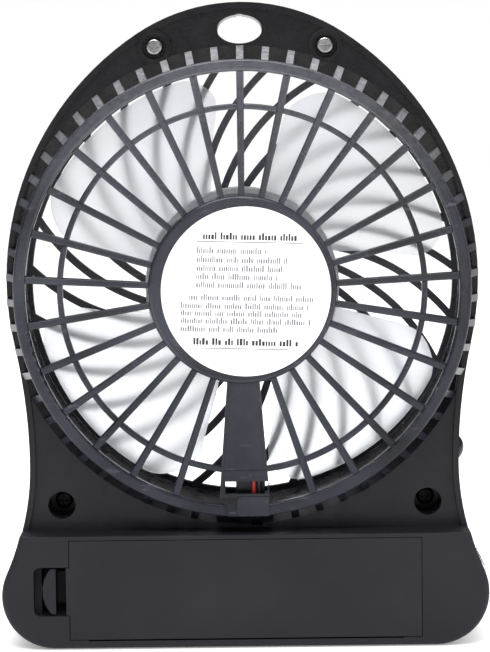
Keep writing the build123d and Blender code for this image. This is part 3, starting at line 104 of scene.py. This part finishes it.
# ---------------------------------------------------------------- material helpers
class Recipe:
    """A node material under construction."""

    def __init__(self, name):
        self.material = bpy.data.materials.new(name)
        self.material.use_nodes = True
        self.tree = self.material.node_tree
        self.tree.nodes.clear()
        self.output = self.add("ShaderNodeOutputMaterial")
        self.shader = self.add("ShaderNodeBsdfPrincipled")
        self.join(self.shader, "BSDF", self.output, "Surface")
        self.coordinates = self.add("ShaderNodeTexCoord")

    def add(self, kind, **values):
        node = self.tree.nodes.new(kind)
        for key, value in values.items():
            setattr(node, key, value)
        return node

    def join(self, source, out, target, into):
        self.tree.links.new(source.outputs[out], target.inputs[into])

    def set(self, **values):
        """Set sockets of the main shader; underscores stand for spaces."""
        for key, value in values.items():
            self.shader.inputs[key.replace("_", " ")].default_value = value
        return self

    def noise(self, scale, detail=4.0, stretch=(1, 1, 1), roughness=0.55, turn=(0, 0, 0)):
        """Noise in object space; scale counts features in a metre."""
        mapping = self.add("ShaderNodeMapping")
        mapping.inputs["Scale"].default_value = stretch
        mapping.inputs["Rotation"].default_value = turn
        self.join(self.coordinates, "Object", mapping, "Vector")
        noise = self.add("ShaderNodeTexNoise")
        noise.inputs["Scale"].default_value = scale
        noise.inputs["Detail"].default_value = detail
        noise.inputs["Roughness"].default_value = roughness
        self.join(mapping, "Vector", noise, "Vector")
        return noise

    def ramp(self, source, out, stops):
        """A colour ramp from (position, value or colour) stops."""
        ramp = self.add("ShaderNodeValToRGB")
        self.join(source, out, ramp, "Fac")
        elements = ramp.color_ramp.elements
        while len(elements) < len(stops):
            elements.new(0.5)
        for element, (position, value) in zip(elements, stops):
            element.position = position
            colour = (value, value, value) if isinstance(value, (int, float)) else value
            element.color = (*colour, 1.0)
        return ramp

    def span(self, source, out, low, high, start=0.3, end=0.7):
        """Map a factor onto a range."""
        span = self.add("ShaderNodeMapRange")
        span.inputs["From Min"].default_value = start
        span.inputs["From Max"].default_value = end
        span.inputs["To Min"].default_value = low
        span.inputs["To Max"].default_value = high
        self.join(source, out, span, "Value")
        return span

    def mix(self, factor, first, second):
        """Mix two colour outputs, or plain colours, by a factor output."""
        mix = self.add("ShaderNodeMix", data_type="RGBA")
        self.tree.links.new(factor, mix.inputs[0])
        for index, value in ((6, first), (7, second)):
            if isinstance(value, tuple):
                mix.inputs[index].default_value = (*value, 1.0)
            else:
                self.tree.links.new(value, mix.inputs[index])
        return mix.outputs[2]

    def multiply(self, first, second):
        """The product of two factor outputs."""
        product = self.add("ShaderNodeMath", operation="MULTIPLY")
        self.tree.links.new(first, product.inputs[0])
        self.tree.links.new(second, product.inputs[1])
        return product.outputs[0]

    def bump(self, source, out, height, strength=1.0, under=None):
        """A bump of this height in metres, on top of an earlier one if given."""
        bump = self.add("ShaderNodeBump")
        bump.inputs["Strength"].default_value = strength
        bump.inputs["Distance"].default_value = height
        self.join(source, out, bump, "Height")
        if under is not None:
            self.join(under, "Normal", bump, "Normal")
        return bump

    def to_shader(self, output, socket):
        self.tree.links.new(output, self.shader.inputs[socket])
        return self


def sheen_by_height(recipe, low, high):
    """Specular strength from low at the ledge to high at the top, so that the foot looks duller."""
    place = recipe.add("ShaderNodeSeparateXYZ")
    recipe.join(recipe.coordinates, "Object", place, "Vector")
    sheen = recipe.span(place, "Z", low, high, LEDGE_TOP, TOP)
    recipe.to_shader(sheen.outputs["Result"], "Specular IOR Level")


def moulded_plastic(name, colour, light, rough, grain=1400, grain_height=0.00002, scuffs=0.12):
    """Moulded plastic: cloudy colour, a fine grain and a few pale rubbed marks."""
    recipe = Recipe(name)
    clouds = recipe.noise(45, 3.0)
    tone = recipe.ramp(clouds, "Fac", [(0.3, colour), (0.72, light)])
    streaks = recipe.noise(160, 6.0, stretch=(1.0, 1.0, 3.5), roughness=0.7)
    rubbed = recipe.ramp(streaks, "Fac", [(0.6, 0.0), (0.78, scuffs)])
    worn = tuple(min(1.0, part * 4 + 0.05) for part in light)
    base = recipe.mix(rubbed.outputs["Color"], tone.outputs["Color"], worn)
    recipe.to_shader(base, "Base Color")
    patches = recipe.noise(110, 5.0, roughness=0.65)
    roughness = recipe.span(patches, "Fac", rough[0], rough[1])
    recipe.to_shader(roughness.outputs["Result"], "Roughness")
    fine = recipe.noise(grain, 3.0)
    waves = recipe.noise(70, 2.0)
    swell = recipe.bump(waves, "Fac", 0.00012, 0.35)
    surface = recipe.bump(fine, "Fac", grain_height, 0.6, under=swell)
    recipe.to_shader(surface.outputs["Normal"], "Normal")
    return recipe


def shell_plastic():
    """The near-black body: silky above the ledge, duller and paler on the battery box, with the box's
    tone carried a way up the recess as a painted sheen.
    """
    recipe = moulded_plastic(
        "shell_plastic", (0.0036, 0.0034, 0.0048), (0.0066, 0.0062, 0.0084), (0.20, 0.36), scuffs=0.08
    )
    place = recipe.add("ShaderNodeSeparateXYZ")
    recipe.join(recipe.coordinates, "Object", place, "Vector")
    # painted sheen: the box's paler tone fades out upwards over the recess just above the ledge,
    # lightening it as if it caught light
    height = recipe.span(place, "Z", 1.0, 0.0, LEDGE_TOP, LEDGE_TOP + PAINTED_SHEEN_REACH)
    clouds = recipe.noise(60, 4.0)
    box_and_sheen_tone = recipe.ramp(clouds, "Fac", BOX_AND_SHEEN_TONES)
    upper_tone = recipe.shader.inputs["Base Color"].links[0].from_socket
    tone = recipe.mix(height.outputs["Result"], upper_tone, box_and_sheen_tone.outputs["Color"])
    recipe.to_shader(tone, "Base Color")
    dull = recipe.span(place, "Z", 0.52, 0.26, LEDGE_TOP - DULL_BELOW, LEDGE_TOP + DULL_ABOVE)
    patches = recipe.noise(240, 6.0, roughness=0.7)
    spread = recipe.span(patches, "Fac", 0.8, 1.3)
    recipe.to_shader(recipe.multiply(dull.outputs["Result"], spread.outputs["Result"]), "Roughness")
    sheen_by_height(recipe, 0.14, 0.50)
    return recipe.material


def door_plastic():
    """The battery door and latch, matt with a slightly paler tone."""
    recipe = moulded_plastic(
        "door_plastic",
        (0.0150, 0.0143, 0.0180),
        (0.0200, 0.0192, 0.0235),
        (0.44, 0.6),
        grain=2200,
        scuffs=0.04,
    )
    recipe.set(Specular_IOR_Level=0.14)
    return recipe.material


def guard_plastic(name, pale, highlight_share):
    """The guards: glossy slate plastic, rubbed and streaky; pale is the painted highlight's tone at the
    top, mixed in by the given share, as if lit from above.
    """
    recipe = moulded_plastic(
        name,
        (0.0055, 0.006, 0.0095),
        (0.030, 0.032, 0.046),
        (0.16, 0.42),
        grain=900,
        grain_height=0.00004,
        scuffs=0.45,
    )
    place = recipe.add("ShaderNodeSeparateXYZ")
    recipe.join(recipe.coordinates, "Object", place, "Vector")
    # painted highlight: towards the top the guard is mixed towards the pale tone, broken up by speckle,
    # standing in for light from above
    height = recipe.span(place, "Z", 0.0, highlight_share, PAINTED_HIGHLIGHT_FROM, PAINTED_HIGHLIGHT_FULL)
    highlight_speckle = recipe.noise(700, 5.0, roughness=0.7)
    spread = recipe.span(highlight_speckle, "Fac", 0.4, 1.3)
    painted_highlight_amount = recipe.multiply(height.outputs["Result"], spread.outputs["Result"])
    slate = recipe.shader.inputs["Base Color"].links[0].from_socket
    recipe.to_shader(recipe.mix(painted_highlight_amount, slate, pale), "Base Color")
    sheen_by_height(recipe, 0.18, 0.80)
    return recipe


def clear_plastic():
    """The impeller: milky plastic that blurs what is behind it."""
    recipe = Recipe("milky_plastic")
    clouds = recipe.noise(35, 3.0)
    tone = recipe.ramp(clouds, "Fac", [(0.3, (0.93, 0.95, 0.99)), (0.7, (0.97, 0.98, 1.0))])
    recipe.to_shader(tone.outputs["Color"], "Base Color")
    flow = recipe.noise(60, 4.0, stretch=(1.0, 0.3, 1.0))
    roughness = recipe.span(flow, "Fac", 0.40, 0.52)
    recipe.to_shader(roughness.outputs["Result"], "Roughness")
    surface = recipe.bump(flow, "Fac", 0.0001, 0.3)
    recipe.to_shader(surface.outputs["Normal"], "Normal")
    recipe.set(Transmission_Weight=0.80, IOR=1.30)
    return recipe.material


def paper():
    """Coated white paper with a faint fibre and a slight wave."""
    recipe = Recipe("label_paper")
    fibre = recipe.noise(900, 5.0, stretch=(1.0, 1.0, 2.5))
    tone = recipe.ramp(fibre, "Fac", [(0.3, (0.80, 0.80, 0.82)), (0.7, (0.88, 0.88, 0.89))])
    recipe.to_shader(tone.outputs["Color"], "Base Color")
    wave = recipe.noise(90, 2.0)
    roughness = recipe.span(fibre, "Fac", 0.28, 0.40)
    recipe.to_shader(roughness.outputs["Result"], "Roughness")
    surface = recipe.bump(wave, "Fac", 0.00008, 0.5)
    recipe.to_shader(surface.outputs["Normal"], "Normal")
    return recipe.material


def ink(name, dark, pale):
    """Printing ink, a little uneven."""
    recipe = Recipe(name)
    uneven = recipe.noise(1500, 4.0)
    tone = recipe.ramp(uneven, "Fac", [(0.3, dark), (0.75, pale)])
    recipe.to_shader(tone.outputs["Color"], "Base Color")
    roughness = recipe.span(uneven, "Fac", 0.35, 0.5)
    recipe.to_shader(roughness.outputs["Result"], "Roughness")
    return recipe.material


def metal(name, colour, dark, rough, scale=500, dent=0.00002):
    """A metal with fine directional marks, dent metres deep, and a slight stain."""
    recipe = Recipe(name)
    stain = recipe.noise(200, 4.0)
    tone = recipe.ramp(stain, "Fac", [(0.3, dark), (0.65, colour)])
    recipe.to_shader(tone.outputs["Color"], "Base Color")
    marks = recipe.noise(scale, 5.0, stretch=(1, 1, 6), roughness=0.7)
    roughness = recipe.span(marks, "Fac", rough[0], rough[1])
    recipe.to_shader(roughness.outputs["Result"], "Roughness")
    surface = recipe.bump(marks, "Fac", dent, 0.4)
    recipe.to_shader(surface.outputs["Normal"], "Normal")
    recipe.set(Metallic=1.0)
    return recipe.material


def plain_plastic(name, colour, light, rough):
    """A small moulded part with cloudy colour and fine grain."""
    return moulded_plastic(name, colour, light, rough, grain=2600, scuffs=0.04).material


def clear_epoxy():
    """The lamp's clear body."""
    recipe = Recipe("clear_epoxy")
    clouds = recipe.noise(300, 3.0)
    tone = recipe.ramp(clouds, "Fac", [(0.3, (0.93, 0.95, 1.0)), (0.7, (0.98, 0.99, 1.0))])
    recipe.to_shader(tone.outputs["Color"], "Base Color")
    roughness = recipe.span(clouds, "Fac", 0.03, 0.10)
    recipe.to_shader(roughness.outputs["Result"], "Roughness")
    recipe.set(Transmission_Weight=0.9, IOR=1.5)
    return recipe.material


def board_mask():
    """Green solder mask with a faint trace pattern."""
    recipe = Recipe("solder_mask")
    traces = recipe.add("ShaderNodeTexBrick")
    traces.inputs["Scale"].default_value = 400
    traces.inputs["Mortar Size"].default_value = 0.08
    traces.inputs["Color1"].default_value = (0.010, 0.10, 0.035, 1)
    traces.inputs["Color2"].default_value = (0.014, 0.13, 0.045, 1)
    traces.inputs["Mortar"].default_value = (0.03, 0.22, 0.08, 1)
    recipe.join(recipe.coordinates, "Object", traces, "Vector")
    recipe.to_shader(traces.outputs["Color"], "Base Color")
    patches = recipe.noise(400, 3.0)
    roughness = recipe.span(patches, "Fac", 0.2, 0.35)
    recipe.to_shader(roughness.outputs["Result"], "Roughness")
    return recipe.material


# ---------------------------------------------------------------- materials of the CAD nodes
materials = {
    "shell": shell_plastic(),
    # the guard's paler top is a painted highlight
    "guard": guard_plastic("guard_plastic", (0.10, 0.10, 0.115), 0.55).material,
    "impeller": clear_plastic(),
    "paper": paper(),
    "steel": metal("screw_steel", (0.62, 0.61, 0.60), (0.34, 0.33, 0.33), (0.22, 0.42)),
    "black_steel": metal("black_oxide", (0.020, 0.020, 0.021), (0.008, 0.008, 0.009), (0.40, 0.55)),
    "nickel": metal("nickel", (0.70, 0.69, 0.66), (0.5, 0.49, 0.46), (0.15, 0.3)),
    "copper": metal("copper", (0.80, 0.38, 0.18), (0.5, 0.2, 0.1), (0.25, 0.4)),
    "brass": metal("tinned_brass", (0.72, 0.64, 0.42), (0.5, 0.43, 0.25), (0.25, 0.4)),
    "magnet": plain_plastic("ferrite", (0.03, 0.03, 0.033), (0.05, 0.05, 0.055), (0.5, 0.7)),
    "dark_plastic": plain_plastic(
        "dark_plastic", (0.012, 0.012, 0.013), (0.02, 0.02, 0.022), (0.35, 0.55)
    ),
    "wire_red": plain_plastic("red_insulation", (0.45, 0.012, 0.012), (0.6, 0.03, 0.025), (0.25, 0.4)),
    "wire_black": plain_plastic("black_insulation", (0.01, 0.01, 0.01), (0.02, 0.02, 0.02), (0.3, 0.45)),
    "cell_wrap": plain_plastic("cell_wrap", (0.05, 0.16, 0.36), (0.07, 0.2, 0.42), (0.2, 0.3)),
    "board": board_mask(),
    "led": clear_epoxy(),
    "bezel": metal(
        "bright_chrome", (0.75, 0.75, 0.77), (0.55, 0.55, 0.57), (0.18, 0.30), scale=80, dent=0.000002
    ),
}
own_materials = {
    "battery_door": door_plastic(),
    # the side bars get a much paler top: a stronger painted highlight, a lit copy of the guard plastic
    "rear_guard_side_bars": guard_plastic("guard_side_bars", (0.42, 0.42, 0.44), 0.75).material,
}
own_materials["door_latch"] = own_materials["battery_door"]


def dress(piece, material):
    """Give a piece one material."""
    piece.data.materials.clear()
    piece.data.materials.append(material)


for node, piece in nodes.items():
    dress(piece, own_materials.get(node, materials[slots[node]]))


# ---------------------------------------------------------------- pieces made here
def mesh_piece(name, build, material, body):
    """A mesh object from a function that fills a bmesh."""
    mesh = bpy.data.meshes.new(name)
    work = bmesh.new()
    build(work)
    bmesh.ops.recalc_face_normals(work, faces=work.faces)
    work.to_mesh(mesh)
    work.free()
    piece = bpy.data.objects.new(name, mesh)
    bpy.context.scene.collection.objects.link(piece)
    dress(piece, material)
    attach(piece, body)
    return piece


def add_mark(work, along, height, length, tall):
    """One flat raised mark on the label; along and height are its lower left corner in mm."""
    turn = math.radians(LABEL_TURN)
    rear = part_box("hub_label")[1].y
    rings = []
    for y in (rear - MARK_HALF_DEPTH * MM, rear + MARK_HALF_DEPTH * MM):
        ring = []
        for u, v in ((0, 0), (length, 0), (length, tall), (0, tall)):
            right = (along + u) * math.cos(turn) + (height + v) * math.sin(turn)
            up = (height + v) * math.cos(turn) - (along + u) * math.sin(turn)
            x = (LABEL_CENTRE[0] - right) * MM
            z = (LABEL_CENTRE[1] + up) * MM
            ring.append(work.verts.new((x, y, z)))
        rings.append(ring)
    front, back = rings
    work.faces.new(front)
    work.faces.new(back)
    for k in range(4):
        work.faces.new((front[k], front[k - 1], back[k - 1], back[k]))


def add_row(work, height, letter, start, end, stroke):
    """A row of word-like groups of plain upright strokes; there are no letters."""
    x = start
    word_end = start
    while x < end:
        if x >= word_end:
            x += WORD_GAP if word_end > start else 0.0
            word_end = min(x + random.uniform(1.8, 5.5), end)
        wide = stroke * random.uniform(0.8, 1.4)
        tall = letter * random.choice((0.66, 0.66, 0.72, 1.0))
        add_mark(work, x, height - letter / 2, wide, tall)
        x += wide + STROKE_GAP


def label_headlines(work):
    """The bolder rows and the two rules of a generic rating label."""
    random.seed(HEADLINE_SEED)
    for height, letter, start, end in HEADLINES:
        add_row(work, height, letter, start, end, BOLD_STROKE)
    for height, start, end in RULES:
        add_mark(work, start, height - RULE_THICKNESS / 2, end - start, RULE_THICKNESS)


def label_rows(work):
    """The thin rows of a generic rating label."""
    random.seed(TEXT_SEED)
    for height, letter, start, end in TEXT_ROWS:
        add_row(work, height, letter, start, end, THIN_STROKE)


DARK_INK = ink("label_dark_ink", (0.010, 0.010, 0.012), (0.035, 0.035, 0.040))
GREY_INK = ink("label_grey_ink", (0.10, 0.10, 0.12), (0.20, 0.20, 0.23))
mesh_piece("label_headlines", label_headlines, DARK_INK, "housing")
mesh_piece("label_rows", label_rows, GREY_INK, "housing")


# ---------------------------------------------------------------- floor, light, camera
def floor():
    """The plain pale floor."""
    bpy.ops.mesh.primitive_plane_add(size=FLOOR_SIZE, location=(0, 0, -FLOOR_GAP))
    piece = bpy.context.object
    piece.name = "floor"
    recipe = Recipe("pale_floor")
    clouds = recipe.noise(3, 2.0)
    tone = recipe.ramp(clouds, "Fac", [(0.3, 0.92), (0.7, 0.95)])
    recipe.to_shader(tone.outputs["Color"], "Base Color")
    recipe.set(Roughness=0.8, Emission_Color=(1.0, 1.0, 1.0, 1.0), Emission_Strength=0.22)
    dress(piece, recipe.material)


def soft_world():
    """White surroundings, dimmer in reflections so that black plastic stays black."""
    world = bpy.data.worlds.new("studio")
    bpy.context.scene.world = world
    world.use_nodes = True
    tree = world.node_tree
    background = tree.nodes["Background"]
    background.inputs["Color"].default_value = (1, 1, 1, 1)
    path = tree.nodes.new("ShaderNodeLightPath")
    opaque = tree.nodes.new("ShaderNodeMath")
    opaque.operation = "SUBTRACT"
    opaque.use_clamp = True
    tree.links.new(path.outputs["Is Glossy Ray"], opaque.inputs[0])
    tree.links.new(path.outputs["Is Transmission Ray"], opaque.inputs[1])
    strength = tree.nodes.new("ShaderNodeMapRange")
    strength.inputs["To Min"].default_value = 1.0
    strength.inputs["To Max"].default_value = 0.12
    tree.links.new(opaque.outputs["Value"], strength.inputs["Value"])
    tree.links.new(strength.outputs["Result"], background.inputs["Strength"])


def area_light(name, place, size, power, aim=FAN_CENTRE):
    """A soft box aimed at a point."""
    data = bpy.data.lights.new(name, "AREA")
    data.shape = "RECTANGLE"
    data.size = size[0]
    data.size_y = size[1]
    data.energy = power
    light = bpy.data.objects.new(name, data)
    bpy.context.scene.collection.objects.link(light)
    light.location = place
    light.rotation_euler = (Vector(aim) - Vector(place)).to_track_quat("-Z", "Y").to_euler()


def camera():
    """The camera behind the fan, slightly above it and leaning a little."""
    data = bpy.data.cameras.new("camera")
    piece = bpy.data.objects.new("camera", data)
    bpy.context.scene.collection.objects.link(piece)
    azimuth = math.radians(CAMERA_AZIMUTH)
    elevation = math.radians(CAMERA_ELEVATION)
    away = Vector(
        (
            math.sin(azimuth) * math.cos(elevation),
            -math.cos(azimuth) * math.cos(elevation),
            math.sin(elevation),
        )
    )
    piece.location = CAMERA_TARGET + away * CAMERA_DISTANCE
    upright = (-away).to_track_quat("-Z", "Y")
    lean = Quaternion((0.0, 0.0, 1.0), math.radians(-CAMERA_ROLL))
    piece.rotation_euler = (upright @ lean).to_euler()
    data.sensor_fit = "VERTICAL"
    data.angle = 2 * math.atan(VIEW_HEIGHT / 2 / CAMERA_DISTANCE)
    data.clip_start = 0.01
    bpy.context.scene.camera = piece


floor()
soft_world()
area_light("key", (0.10, 0.60, 0.80), (0.6, 0.3), 5.0)
area_light("side", (-0.7, 0.35, 0.35), (0.2, 0.6), 1.5)
area_light("top", (0.0, 0.0, 0.9), (0.8, 0.2), 2.0)
area_light("front", (0.0, -0.70, 0.72), (1.2, 0.5), 4.0)
camera()
bpy.context.scene.view_settings.view_transform = "Standard"
